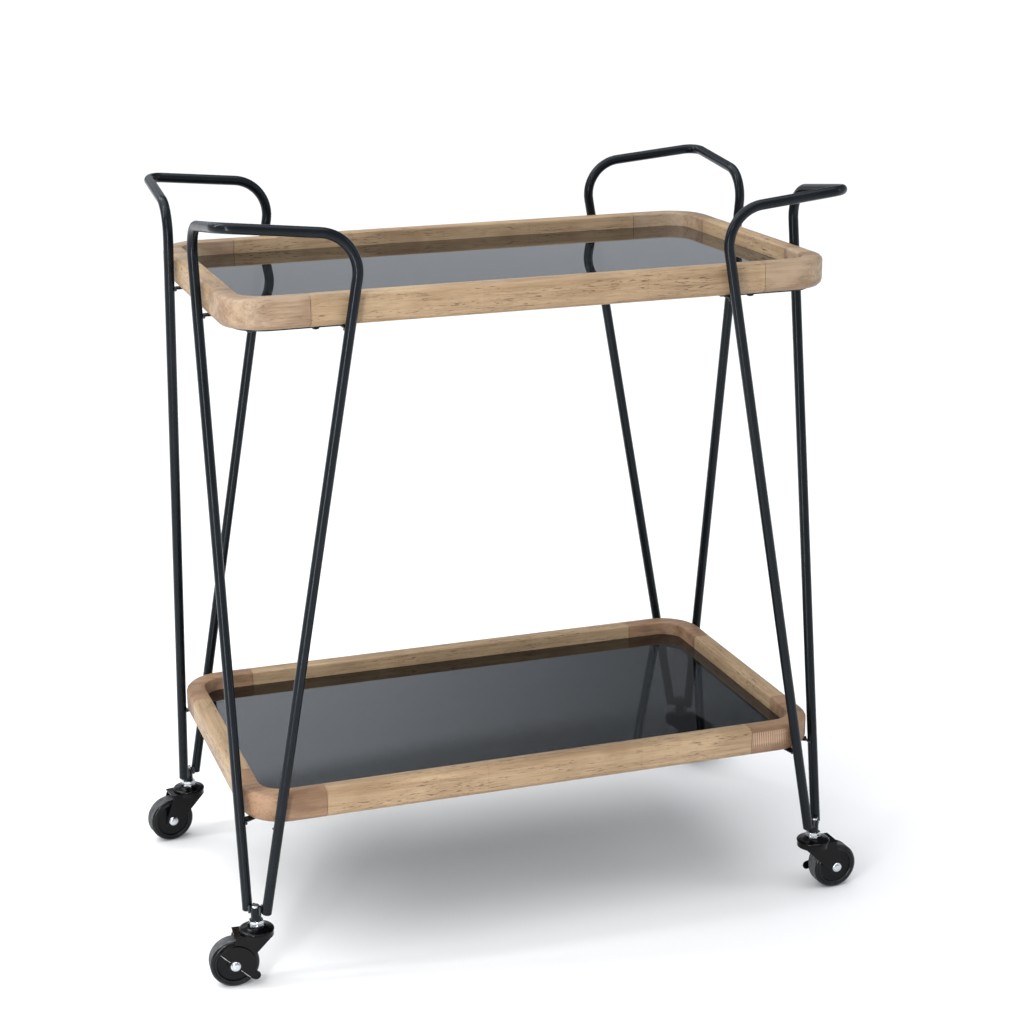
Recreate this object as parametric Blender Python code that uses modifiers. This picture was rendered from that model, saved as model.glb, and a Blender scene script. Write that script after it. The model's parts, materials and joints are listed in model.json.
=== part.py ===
"""Bar cart on wheels: two framed glass trays on four bent-bar corner frames and swivel casters.

Units are metres. +X runs along the cart, +Y across it and +Z up.
The origin is on the floor under the middle of the cart.
"""

import math

import bmesh
import bpy
from mathutils import Matrix, Vector

GAP = 0.0003
WELD = 0.000005

# Trays
TRAY_LENGTH = 0.600
TRAY_WIDTH = 0.351
TRAY_HEIGHT = 0.029
TRAY_CORNER_R = 0.044
UPPER_RIM_Z = 0.6675
LOWER_RIM_Z = 0.189
RAIL_WIDTH = 0.020
CORNER_BLOCK_LENGTH = 0.077
OUTER_TOP_R = 0.005
OUTER_BOTTOM_R = 0.007
INNER_TOP_R = 0.0025
INNER_BOTTOM_R = 0.0015
OUTER_SEGMENTS = 3
CORNER_SEGMENTS = 8

# Glass panes, dropped in from above onto a ledge in the wood
GLASS_DEPTH = 0.014
GLASS_THICKNESS = 0.005
LEDGE_REACH = 0.006

# Corner frames: one bent bar each, given for the corner at +X +Y
BAR_R = 0.005
LONG_SIDE_FOOT = Vector((0.2878, 0.1797, 0.0715))
LONG_SIDE_SHOULDER = Vector((0.1744, 0.1836, 0.7212))
HANDLE_CORNER = Vector((0.3054, 0.1776, 0.7341))
SHORT_SIDE_SHOULDER = Vector((0.3065, 0.0588, 0.7190))
SHORT_SIDE_FOOT = Vector((0.3033, 0.1657, 0.0715))
LONG_SIDE_BEND_R = 0.0366
HANDLE_CORNER_BEND_R = 0.0164
SHORT_SIDE_BEND_R = 0.0294
BEND_SEGMENTS = 6

# Plates that carry the trays on the frames
PLATE_THICKNESS = 0.002
PLATE_INSET = 0.012
PLATE_WIDTH = 0.014
PLATE_TAB_HALF = 0.0045
PLATE_PAST_LEG = 0.007

# Threaded sleeves at the frame feet
SLEEVE_X = 0.2970
SLEEVE_Y = 0.1743
SLEEVE_R = 0.0051
SLEEVE_BOTTOM_Z = 0.0650
SLEEVE_TOP_Z = 0.0785

# Casters, in their own frame: swivel axis at the origin, wheel behind it along +X
WHEEL_R = 0.024
WHEEL_WIDTH = 0.018
TRAIL = 0.0232
STEM_R = 0.004
STEM_TOP_Z = 0.0800
NUT_ACROSS_FLATS = 0.013
NUT_TOP_Z = 0.0647
NUT_BOTTOM_Z = 0.0617
COLLAR_BOTTOM_Z = 0.0573
RACE_R = 0.0171
RACE_TOP_Z = 0.0570
ROOF_R = 0.0166
ROOF_TOP_Z = 0.0540
ROOF_THICKNESS = 0.0017
ROOF_REAR_X = 0.0230
DRUM_BOTTOM_Z = 0.0490
DRUM_REAR_X = 0.0116
CHEEK_THICKNESS = 0.0015
CHEEK_GAP = 0.0008
AXLE_R = 0.003
AXLE_HEAD_R = 0.0052
AXLE_HEAD_HEIGHT = 0.0024
BRAKE_THICKNESS = 0.0012
BRAKE_R = 0.0205
BRAKE_EDGE_ANGLE = math.radians(44)
PEDAL_ANGLE = math.radians(212)
PEDAL_REACH = 0.0275
PEDAL_HALF_WIDTH = 0.0045
BRAKE_LIFT = math.radians(22)

# Corner name: side along X, side along Y, caster yaw, brake lever's lift or None
CORNERS = {
    "front_left": (-1, -1, math.radians(176), 0.0),
    "front_right": (1, -1, math.radians(2), BRAKE_LIFT),
    "back_left": (-1, 1, math.radians(189), None),
    "back_right": (1, 1, math.radians(6), None),
}

COLOURS = {
    "rail_wood": ((0.56, 0.37, 0.20), 0.55, 0.0),
    "corner_wood": ((0.47, 0.27, 0.14), 0.55, 0.0),
    "smoked_glass": ((0.06, 0.065, 0.07), 0.05, 0.0),
    "black_steel": ((0.022, 0.024, 0.028), 0.38, 0.0),
    "gloss_black_steel": ((0.012, 0.012, 0.014), 0.2, 0.0),
    "black_plastic": ((0.02, 0.021, 0.023), 0.4, 0.0),
    "zinc": ((0.72, 0.73, 0.74), 0.25, 1.0),
}


def clear_scene():
    for item in list(bpy.data.objects):
        bpy.data.objects.remove(item, do_unlink=True)


def new_collection(name):
    made = bpy.data.collections.new(name)
    bpy.context.scene.collection.children.link(made)
    return made


def material(name):
    made = bpy.data.materials.get(name)
    if made is None:
        colour, roughness, metallic = COLOURS[name]
        made = bpy.data.materials.new(name)
        made.use_nodes = True
        shader = made.node_tree.nodes["Principled BSDF"]
        shader.inputs["Base Color"].default_value = (*colour, 1.0)
        shader.inputs["Roughness"].default_value = roughness
        shader.inputs["Metallic"].default_value = metallic
    return made


def add_object(name, data, collection=None):
    made = bpy.data.objects.new(name, data)
    (collection or PARTS).objects.link(made)
    return made


def finish(item, material_name, smooth_angle=None):
    item.data.materials.clear()
    item.data.materials.append(material(material_name))
    if smooth_angle is not None:
        item.data.shade_smooth()
        item.data.set_sharp_from_angle(angle=math.radians(smooth_angle))
    return item


def mesh_from(item):
    """Replaces a curve or a modified object by the plain mesh that it evaluates to."""
    bpy.context.view_layer.update()
    graph = bpy.context.evaluated_depsgraph_get()
    mesh = bpy.data.meshes.new_from_object(item.evaluated_get(graph))
    shape = bmesh.new()
    shape.from_mesh(mesh)
    bmesh.ops.remove_doubles(shape, verts=shape.verts, dist=WELD)
    bmesh.ops.dissolve_degenerate(shape, edges=shape.edges, dist=WELD)
    shape.to_mesh(mesh)
    shape.free()
    name = item.name
    collection = item.users_collection[0]
    matrix = item.matrix_world.copy()
    bpy.data.objects.remove(item, do_unlink=True)
    mesh.name = name
    made = add_object(name, mesh, collection)
    made.matrix_world = matrix
    return made


def outline_curve(name, loops, thickness):
    """A flat shape from closed loops of (x, y) points, centred on z = 0."""
    data = bpy.data.curves.new(name, "CURVE")
    data.dimensions = "2D"
    data.fill_mode = "BOTH"
    data.extrude = thickness / 2
    for loop in loops:
        spline = data.splines.new("POLY")
        spline.points.add(len(loop) - 1)
        for point, (x, y) in zip(spline.points, loop):
            point.co = (x, y, 0, 1)
        spline.use_cyclic_u = True
    return add_object(name, data)


def turned(name, profile, steps, closed):
    """A shape turned about Z from a profile of (radius, z), its outer side running down."""
    data = bpy.data.meshes.new(name)
    shape = bmesh.new()
    points = [shape.verts.new((radius, 0, z)) for radius, z in profile]
    for first, second in zip(points, points[1:]):
        shape.edges.new((first, second))
    if closed:
        shape.edges.new((points[-1], points[0]))
    shape.to_mesh(data)
    shape.free()
    item = add_object(name, data)
    screw = item.modifiers.new("turn", "SCREW")
    screw.axis = "Z"
    screw.angle = math.tau
    screw.steps = steps
    screw.render_steps = steps
    screw.use_merge_vertices = True
    screw.merge_threshold = 1e-6
    screw.use_smooth_shade = False
    return mesh_from(item)


def hexagon(name, across_flats, bottom, top, bevel):
    shape = bmesh.new()
    radius = across_flats / math.sqrt(3)
    middle = Matrix.Translation((0, 0, (bottom + top) / 2))
    bmesh.ops.create_cone(
        shape,
        cap_ends=True,
        segments=6,
        radius1=radius,
        radius2=radius,
        depth=top - bottom,
        matrix=middle,
    )
    data = bpy.data.meshes.new(name)
    shape.to_mesh(data)
    shape.free()
    item = add_object(name, data)
    rounding = item.modifiers.new("rounding", "BEVEL")
    rounding.width = bevel
    rounding.segments = 1
    rounding.limit_method = "ANGLE"
    rounding.angle_limit = math.radians(80)
    return mesh_from(item)


def cylinder(name, radius, bottom, top, segments):
    shape = bmesh.new()
    middle = Matrix.Translation((0, 0, (bottom + top) / 2))
    bmesh.ops.create_cone(
        shape,
        cap_ends=True,
        segments=segments,
        radius1=radius,
        radius2=radius,
        depth=top - bottom,
        matrix=middle,
    )
    data = bpy.data.meshes.new(name)
    shape.to_mesh(data)
    shape.free()
    return add_object(name, data)


def combine(item, tool, operation):
    """Runs one Boolean and uses up its tool."""
    bpy.context.view_layer.update()
    step = item.modifiers.new("boolean", "BOOLEAN")
    step.operation = operation
    step.solver = "EXACT"
    step.object = tool
    result = mesh_from(item)
    bpy.data.objects.remove(tool, do_unlink=True)
    return result


def rounded_outline(half_x, half_y, radius, segments):
    points = []
    for quarter in range(4):
        side_x = 1 if quarter in (0, 3) else -1
        side_y = 1 if quarter in (0, 1) else -1
        for step in range(segments + 1):
            angle = math.pi / 2 * (quarter + step / segments)
            points.append(
                (
                    side_x * (half_x - radius) + radius * math.cos(angle),
                    side_y * (half_y - radius) + radius * math.sin(angle),
                )
            )
    return points


def rail_profile():
    """Cross-section of the wood: x is the distance in from the outer face, y the height."""

    def corner(x, y, radius, start, segments):
        steps = range(segments + 1)
        angles = [start + math.pi / 2 * step / segments for step in steps]
        return [(x + radius * math.cos(a), y + radius * math.sin(a)) for a in angles]

    ledge_top = TRAY_HEIGHT - GLASS_DEPTH - GLASS_THICKNESS - GAP
    ledge_edge = RAIL_WIDTH + LEDGE_REACH
    points = corner(
        OUTER_BOTTOM_R, OUTER_BOTTOM_R, OUTER_BOTTOM_R, math.pi, OUTER_SEGMENTS
    )
    points += corner(
        ledge_edge - INNER_BOTTOM_R, INNER_BOTTOM_R, INNER_BOTTOM_R, math.pi * 1.5, 1
    )
    points += [(ledge_edge, ledge_top), (RAIL_WIDTH, ledge_top)]
    points += corner(
        RAIL_WIDTH - INNER_TOP_R, TRAY_HEIGHT - INNER_TOP_R, INNER_TOP_R, 0, 2
    )
    points += corner(
        OUTER_TOP_R, TRAY_HEIGHT - OUTER_TOP_R, OUTER_TOP_R, math.pi / 2, OUTER_SEGMENTS
    )
    return points


def swept(name, path, base_z, profile):
    """Wood swept along a flat path that keeps the middle of the cart on its left."""
    guide_data = bpy.data.curves.new(name + "_profile", "CURVE")
    guide_data.dimensions = "2D"
    spline = guide_data.splines.new("POLY")
    spline.points.add(len(profile) - 1)
    for point, (x, y) in zip(spline.points, profile):
        point.co = (-x, y, 0, 1)
    spline.use_cyclic_u = True
    guide = add_object(name + "_profile", guide_data, GUIDES)
    guide.hide_render = True
    guide.display_type = "WIRE"
    data = bpy.data.curves.new(name, "CURVE")
    data.dimensions = "2D"
    data.bevel_mode = "OBJECT"
    data.bevel_object = guide
    data.use_fill_caps = True
    spline = data.splines.new("POLY")
    spline.points.add(len(path) - 1)
    for point, (x, y) in zip(spline.points, path):
        point.co = (x, y, 0, 1)
    item = add_object(name, data)
    item.location.z = base_z
    item = mesh_from(item)
    bpy.data.objects.remove(guide, do_unlink=True)
    return item


def corner_path(side_x, side_y):
    """Outer edge of one corner block, run so that the middle of the cart is on its left."""
    half_x = TRAY_LENGTH / 2
    half_y = TRAY_WIDTH / 2
    points = [(half_x - CORNER_BLOCK_LENGTH, half_y)]
    for step in range(CORNER_SEGMENTS + 1):
        angle = math.pi / 2 * (1 - step / CORNER_SEGMENTS)
        points.append(
            (
                half_x - TRAY_CORNER_R + TRAY_CORNER_R * math.cos(angle),
                half_y - TRAY_CORNER_R + TRAY_CORNER_R * math.sin(angle),
            )
        )
    points.append((half_x, half_y - CORNER_BLOCK_LENGTH))
    placed = [(side_x * x, side_y * y) for x, y in points]
    # The path is given clockwise for +X +Y; a single mirror turns it round.
    if side_x * side_y > 0:
        placed.reverse()
    return placed


def build_tray(level, rim_z):
    base_z = rim_z - TRAY_HEIGHT
    half_x = TRAY_LENGTH / 2
    half_y = TRAY_WIDTH / 2
    seam_x = half_x - CORNER_BLOCK_LENGTH - GAP
    seam_y = half_y - CORNER_BLOCK_LENGTH - GAP
    profile = rail_profile()
    rails = {
        "rail_front": [(-seam_x, -half_y), (seam_x, -half_y)],
        "rail_back": [(seam_x, half_y), (-seam_x, half_y)],
        "rail_right": [(half_x, -seam_y), (half_x, seam_y)],
        "rail_left": [(-half_x, seam_y), (-half_x, -seam_y)],
    }
    for label, path in rails.items():
        finish(swept(f"{level}_{label}", path, base_z, profile), "rail_wood", 40)
    for corner, (side_x, side_y, _yaw, _brake) in CORNERS.items():
        path = corner_path(side_x, side_y)
        block = swept(f"{level}_corner_{corner}", path, base_z, profile)
        finish(block, "corner_wood", 40)
    edge = RAIL_WIDTH + GAP
    pane = rounded_outline(
        half_x - edge, half_y - edge, TRAY_CORNER_R - edge, CORNER_SEGMENTS
    )
    glass = outline_curve(f"{level}_glass", [pane], GLASS_THICKNESS)
    glass.location.z = rim_z - GLASS_DEPTH - GLASS_THICKNESS / 2
    finish(mesh_from(glass), "smoked_glass")


def bend(before, corner, after, radius):
    """Points of a rounded corner between two straight runs."""
    to_before = (before - corner).normalized()
    to_after = (after - corner).normalized()
    opening = to_before.angle(to_after)
    setback = radius / math.tan(opening / 2)
    centre = corner + (to_before + to_after).normalized() * radius / math.sin(opening / 2)
    start = corner + to_before * setback - centre
    end = corner + to_after * setback - centre
    turn = start.angle(end)
    points = []
    for step in range(BEND_SEGMENTS + 1):
        share = step / BEND_SEGMENTS
        blend_start = math.sin((1 - share) * turn) / math.sin(turn)
        blend_end = math.sin(share * turn) / math.sin(turn)
        points.append(centre + start * blend_start + end * blend_end)
    return points


def build_corner_frame(corner, side_x, side_y):
    path = [LONG_SIDE_FOOT]
    path += bend(LONG_SIDE_FOOT, LONG_SIDE_SHOULDER, HANDLE_CORNER, LONG_SIDE_BEND_R)
    path += bend(
        LONG_SIDE_SHOULDER, HANDLE_CORNER, SHORT_SIDE_SHOULDER, HANDLE_CORNER_BEND_R
    )
    path += bend(HANDLE_CORNER, SHORT_SIDE_SHOULDER, SHORT_SIDE_FOOT, SHORT_SIDE_BEND_R)
    path += [SHORT_SIDE_FOOT]
    data = bpy.data.curves.new(f"frame_{corner}", "CURVE")
    data.dimensions = "3D"
    data.bevel_depth = BAR_R
    data.bevel_resolution = 2
    data.use_fill_caps = True
    spline = data.splines.new("POLY")
    spline.points.add(len(path) - 1)
    for point, place in zip(spline.points, path):
        point.co = (side_x * place.x, side_y * place.y, place.z, 1)
    item = mesh_from(add_object(f"frame_{corner}", data))
    finish(item, "black_steel", 50)


def leg_at(foot, shoulder, z):
    share = (z - foot.z) / (shoulder.z - foot.z)
    return foot.lerp(shoulder, share)


def edge_point(along, inset):
    """A point inset from the tray's edge, at a distance along it past the corner's start.

    Distance 0 is where the corner arc starts on the long side, and it grows towards
    the short side.
    """
    centre_x = TRAY_LENGTH / 2 - TRAY_CORNER_R
    centre_y = TRAY_WIDTH / 2 - TRAY_CORNER_R
    radius = TRAY_CORNER_R - inset
    arc = TRAY_CORNER_R * math.pi / 2
    if along < 0:
        return (centre_x + along, centre_y + radius)
    if along > arc:
        return (centre_x + radius, centre_y - (along - arc))
    angle = math.pi / 2 - along / TRAY_CORNER_R
    return (centre_x + radius * math.cos(angle), centre_y + radius * math.sin(angle))


def along_edge(place):
    """Distance along the tray's edge of the point nearest to a leg."""
    centre_x = TRAY_LENGTH / 2 - TRAY_CORNER_R
    centre_y = TRAY_WIDTH / 2 - TRAY_CORNER_R
    if place.x < centre_x:
        return place.x - centre_x, place.y - TRAY_WIDTH / 2
    if place.y < centre_y:
        arc = TRAY_CORNER_R * math.pi / 2
        return arc + centre_y - place.y, place.x - TRAY_LENGTH / 2
    offset = Vector((place.x - centre_x, place.y - centre_y))
    angle = math.pi / 2 - math.atan2(offset.y, offset.x)
    return angle * TRAY_CORNER_R, offset.length - TRAY_CORNER_R


def build_plate(level, corner, side_x, side_y, rim_z):
    top = rim_z - TRAY_HEIGHT - GAP
    middle = top - PLATE_THICKNESS / 2
    first, first_out = along_edge(leg_at(LONG_SIDE_FOOT, LONG_SIDE_SHOULDER, middle))
    last, last_out = along_edge(leg_at(SHORT_SIDE_FOOT, SHORT_SIDE_SHOULDER, middle))
    arc = TRAY_CORNER_R * math.pi / 2
    start = first - PLATE_PAST_LEG
    end = last + PLATE_PAST_LEG

    def span(low, high):
        """Stations from low to high with the arc's own points between them."""
        steps = [arc * step / CORNER_SEGMENTS for step in range(CORNER_SEGMENTS + 1)]
        inner = [s for s in steps if low + 1e-5 < s < high - 1e-5]
        return [low, *inner, high]

    def tab(middle_station, out):
        reach = -(out - BAR_R - 2 * GAP)
        low = middle_station - PLATE_TAB_HALF
        high = middle_station + PLATE_TAB_HALF
        return low, high, reach

    low_a, high_a, reach_a = tab(first, first_out)
    low_b, high_b, reach_b = tab(last, last_out)
    points = [edge_point(s, PLATE_INSET) for s in span(start, low_a)]
    points += [edge_point(s, reach_a) for s in (low_a, high_a)]
    points += [edge_point(s, PLATE_INSET) for s in span(high_a, low_b)]
    points += [edge_point(s, reach_b) for s in (low_b, high_b)]
    points += [edge_point(s, PLATE_INSET) for s in span(high_b, end)]
    inner = PLATE_INSET + PLATE_WIDTH
    points += [edge_point(s, inner) for s in reversed(span(start, end))]
    placed = [(side_x * x, side_y * y) for x, y in points]
    plate = outline_curve(f"{level}_plate_{corner}", [placed], PLATE_THICKNESS)
    plate.location.z = middle
    finish(mesh_from(plate), "black_steel")


def ring_profile(inner, outer, bottom, top, chamfer):
    return [
        (inner, top),
        (outer - chamfer, top),
        (outer, top - chamfer),
        (outer, bottom + chamfer),
        (outer - chamfer, bottom),
        (inner, bottom),
    ]


def build_sleeve(corner, side_x, side_y):
    profile = ring_profile(
        STEM_R + GAP, SLEEVE_R, SLEEVE_BOTTOM_Z, SLEEVE_TOP_Z, 0.0004
    )
    item = turned(f"sleeve_{corner}", profile, 16, True)
    item.location = (side_x * SLEEVE_X, side_y * SLEEVE_Y, 0)
    finish(item, "black_steel", 40)


def convex(points):
    """Convex hull of flat points, anticlockwise."""
    ordered = sorted(set(points))

    def half(source):
        kept = []
        for p in source:
            while len(kept) > 1:
                a, b = kept[-2], kept[-1]
                if (b[0] - a[0]) * (p[1] - a[1]) - (b[1] - a[1]) * (p[0] - a[0]) > 0:
                    break
                kept.pop()
            kept.append(p)
        return kept[:-1]

    return half(ordered) + half(list(reversed(ordered)))


def circle(x, y, radius, segments):
    return [
        (
            x + radius * math.cos(math.tau * step / segments),
            y + radius * math.sin(math.tau * step / segments),
        )
        for step in range(segments)
    ]


def upright(item, y):
    """Turns a flat shape drawn in X and Z so that it stands across the Y axis."""
    item.rotation_euler = (math.pi / 2, 0, 0)
    item.location = (0, y, 0)
    return item


def baked(item):
    """Moves an object's placing into its mesh, so that it can be placed again."""
    bpy.context.view_layer.update()
    item.data.transform(item.matrix_world)
    item.matrix_world = Matrix.Identity(4)
    return item


def build_fork(name):
    roof_low = ROOF_TOP_Z - ROOF_THICKNESS
    cheek_in = WHEEL_WIDTH / 2 + CHEEK_GAP
    cheek_out = cheek_in + CHEEK_THICKNESS
    corner_y = math.sqrt(ROOF_R**2 - DRUM_REAR_X**2)
    round_part = [p for p in circle(0, 0, ROOF_R, 28) if p[0] < DRUM_REAR_X - 0.0005]
    outline = convex(round_part + [(DRUM_REAR_X, -corner_y), (DRUM_REAR_X, corner_y)])
    tail = [
        (0.0, -cheek_out),
        (ROOF_REAR_X, -cheek_out),
        (ROOF_REAR_X, cheek_out),
        (0.0, cheek_out),
    ]
    fork = outline_curve(name, [outline], ROOF_TOP_Z - DRUM_BOTTOM_Z)
    fork.location.z = (ROOF_TOP_Z + DRUM_BOTTOM_Z) / 2
    fork = baked(mesh_from(fork))
    hollow = cylinder(name + "_hollow", ROOF_R - 0.0015, 0.045, roof_low, 28)
    fork = combine(fork, hollow, "DIFFERENCE")
    way_half = cheek_in - 0.0002
    way_high = roof_low - 0.0002
    passage = [
        (0.0, -way_half),
        (0.0200, -way_half),
        (0.0200, way_half),
        (0.0, way_half),
    ]
    way = outline_curve(name + "_way", [passage], way_high - 0.045)
    way.location.z = (way_high + 0.045) / 2
    fork = combine(fork, baked(mesh_from(way)), "DIFFERENCE")
    rear = outline_curve(name + "_tail", [tail], ROOF_THICKNESS - 0.0003)
    rear.location.z = roof_low + ROOF_THICKNESS / 2
    fork = combine(fork, baked(mesh_from(rear)), "UNION")
    ring = cylinder(name + "_ring", 0.0135, roof_low + 0.0005, ROOF_TOP_Z + 0.0009, 24)
    fork = combine(fork, ring, "UNION")
    cheek = convex(
        [
            (-0.0118, ROOF_TOP_Z - 0.0004),
            (-0.0118, DRUM_BOTTOM_Z - 0.0003),
            (ROOF_REAR_X - 0.0020, ROOF_TOP_Z - 0.0004),
        ]
        + circle(TRAIL, WHEEL_R, 0.0078, 20)
    )
    for side in (-1, 1):
        plate = outline_curve(f"{name}_cheek", [cheek], CHEEK_THICKNESS)
        plate = upright(plate, side * (cheek_in + cheek_out) / 2)
        fork = combine(fork, baked(mesh_from(plate)), "UNION")
    fork = combine(
        fork, cylinder(name + "_king", STEM_R + GAP, 0.045, 0.060, 16), "DIFFERENCE"
    )
    pin_hole = cylinder(name + "_pin", AXLE_R + GAP, -0.02, 0.02, 16)
    pin_hole.rotation_euler = (math.pi / 2, 0, 0)
    pin_hole.location = (TRAIL, 0, WHEEL_R)
    fork = combine(fork, baked(pin_hole), "DIFFERENCE")
    return fork


def build_wheel(name):
    half = WHEEL_WIDTH / 2
    profile = [
        (0.0075, half),
        (0.0078, half - 0.0020),
        (0.0170, half - 0.0020),
        (0.0179, half - 0.0003),
        (0.0224, half - 0.0003),
        (WHEEL_R, half - 0.0030),
    ]
    lower = [(radius, -z) for radius, z in reversed(profile)]
    bore = AXLE_R + GAP
    closed = [(bore, half), *profile, *lower, (bore, -half)]
    wheel = turned(name, closed, 24, True)
    wheel.rotation_euler = (math.pi / 2, 0, 0)
    return baked(wheel)


def build_axle(name, has_brake):
    near = WHEEL_WIDTH / 2 + CHEEK_GAP + CHEEK_THICKNESS + GAP
    far = near + (BRAKE_THICKNESS + GAP if has_brake else 0.0)
    # The turned shape stands along Z and is laid along Y, top towards -Y.
    profile = [
        (0.0, near + AXLE_HEAD_HEIGHT),
        (AXLE_HEAD_R * 0.6, near + AXLE_HEAD_HEIGHT * 0.85),
        (AXLE_HEAD_R * 0.92, near + AXLE_HEAD_HEIGHT * 0.45),
        (AXLE_HEAD_R, near),
        (AXLE_R, near),
        (AXLE_R, -far),
        (AXLE_HEAD_R, -far),
        (AXLE_HEAD_R * 0.92, -far - AXLE_HEAD_HEIGHT * 0.45),
        (AXLE_HEAD_R * 0.6, -far - AXLE_HEAD_HEIGHT * 0.85),
        (0.0, -far - AXLE_HEAD_HEIGHT),
    ]
    axle = turned(name, profile, 16, False)
    axle.rotation_euler = (math.pi / 2, 0, 0)
    return baked(axle)


def build_brake(name, lift):
    """Half-moon plate about the axle with a pedal, on the wheel's +Y side."""
    arc = [
        (BRAKE_R * math.cos(a), BRAKE_R * math.sin(a))
        for a in (BRAKE_EDGE_ANGLE + math.pi * step / 14 for step in range(15))
    ]
    hub = circle(0, 0, 0.0065, 16)
    edge = Vector((math.cos(BRAKE_EDGE_ANGLE), math.sin(BRAKE_EDGE_ANGLE)))
    below = [p for p in hub if Vector(p).dot(Vector((edge.y, -edge.x))) > 0.002]
    below.sort(key=lambda p: Vector(p).dot(edge))
    plate = outline_curve(name, [arc + below], BRAKE_THICKNESS)
    plate = baked(mesh_from(plate))
    reach = Vector((math.cos(PEDAL_ANGLE), math.sin(PEDAL_ANGLE)))
    side = Vector((-reach.y, reach.x))
    tip = [
        reach * (PEDAL_REACH - PEDAL_HALF_WIDTH + PEDAL_HALF_WIDTH * math.cos(a))
        + side * PEDAL_HALF_WIDTH * math.sin(a)
        for a in (math.pi * (step / 8 - 0.5) for step in range(9))
    ]
    root = [reach * 0.012 + side * PEDAL_HALF_WIDTH, reach * 0.012 - side * PEDAL_HALF_WIDTH]
    pedal = outline_curve(
        name + "_pedal", [[tuple(p) for p in tip + root]], BRAKE_THICKNESS
    )
    plate = combine(plate, baked(mesh_from(pedal)), "UNION")
    plate = combine(
        plate, cylinder(name + "_bore", AXLE_R + GAP, -0.01, 0.01, 16), "DIFFERENCE"
    )
    level = WHEEL_WIDTH / 2 + CHEEK_GAP + CHEEK_THICKNESS + GAP + BRAKE_THICKNESS / 2
    baked(upright(plate, level))
    plate.rotation_euler = (0, lift, 0)
    return baked(plate)


def build_stem(name):
    profile = [
        (0.0, STEM_TOP_Z),
        (STEM_R - 0.0006, STEM_TOP_Z),
        (STEM_R, STEM_TOP_Z - 0.0006),
        (STEM_R, ROOF_TOP_Z - ROOF_THICKNESS - GAP),
        (0.0062, ROOF_TOP_Z - ROOF_THICKNESS - GAP),
        (0.0056, 0.0502),
        (0.0, 0.0495),
    ]
    stem = turned(name, profile, 16, False)
    collar = hexagon(
        name + "_collar", NUT_ACROSS_FLATS, COLLAR_BOTTOM_Z, NUT_BOTTOM_Z - GAP, 0.0005
    )
    return combine(stem, collar, "UNION")


def build_nut(name):
    nut = hexagon(name, NUT_ACROSS_FLATS, NUT_BOTTOM_Z, NUT_TOP_Z, 0.0005)
    bore = cylinder(name + "_bore", STEM_R + GAP, 0.05, 0.08, 16)
    return combine(nut, bore, "DIFFERENCE")


def build_race(name):
    profile = [
        (STEM_R + GAP, RACE_TOP_Z),
        (0.0120, RACE_TOP_Z - 0.0001),
        (0.0162, RACE_TOP_Z - 0.0007),
        (RACE_R, RACE_TOP_Z - 0.0018),
        (RACE_R - 0.0003, RACE_TOP_Z - 0.0026),
        (RACE_R - 0.0022, RACE_TOP_Z - 0.0018),
        (STEM_R + GAP, RACE_TOP_Z - 0.0018),
    ]
    return turned(name, profile, 24, True)


def build_caster(corner, side_x, side_y, yaw, brake_lift):
    has_brake = brake_lift is not None
    swivel = add_object(f"caster_{corner}_swivel", None)
    swivel.location = (side_x * SLEEVE_X, side_y * SLEEVE_Y, 0)
    swivel.rotation_euler = (0, 0, yaw)
    axle_point = add_object(f"caster_{corner}_axle_point", None)
    axle_point.parent = swivel
    axle_point.location = (TRAIL, 0, WHEEL_R)
    pieces = [
        (build_stem(f"caster_{corner}_stem"), swivel, "zinc", 30),
        (build_nut(f"caster_{corner}_jam_nut"), swivel, "zinc", 30),
        (build_race(f"caster_{corner}_race"), swivel, "gloss_black_steel", 50),
        (build_fork(f"caster_{corner}_fork"), swivel, "gloss_black_steel", 30),
        (build_wheel(f"caster_{corner}_wheel"), axle_point, "black_plastic", 40),
        (build_axle(f"caster_{corner}_axle", has_brake), axle_point, "zinc", 50),
    ]
    if has_brake:
        brake = build_brake(f"caster_{corner}_brake", brake_lift)
        pieces.append((brake, axle_point, "gloss_black_steel", 30))
    for item, parent, colour, angle in pieces:
        item.parent = parent
        finish(item, colour, angle)


clear_scene()
PARTS = new_collection("bar_cart")
GUIDES = new_collection("guides")

for tray, rim in (("upper", UPPER_RIM_Z), ("lower", LOWER_RIM_Z)):
    build_tray(tray, rim)
    for place, (x_side, y_side, _turn, _braked) in CORNERS.items():
        build_plate(tray, place, x_side, y_side, rim)

for place, (x_side, y_side, turn, braked) in CORNERS.items():
    build_corner_frame(place, x_side, y_side)
    build_sleeve(place, x_side, y_side)
    build_caster(place, x_side, y_side, turn, braked)
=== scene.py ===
import json
import math

import bmesh
import bpy
from mathutils import Matrix, Vector


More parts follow.
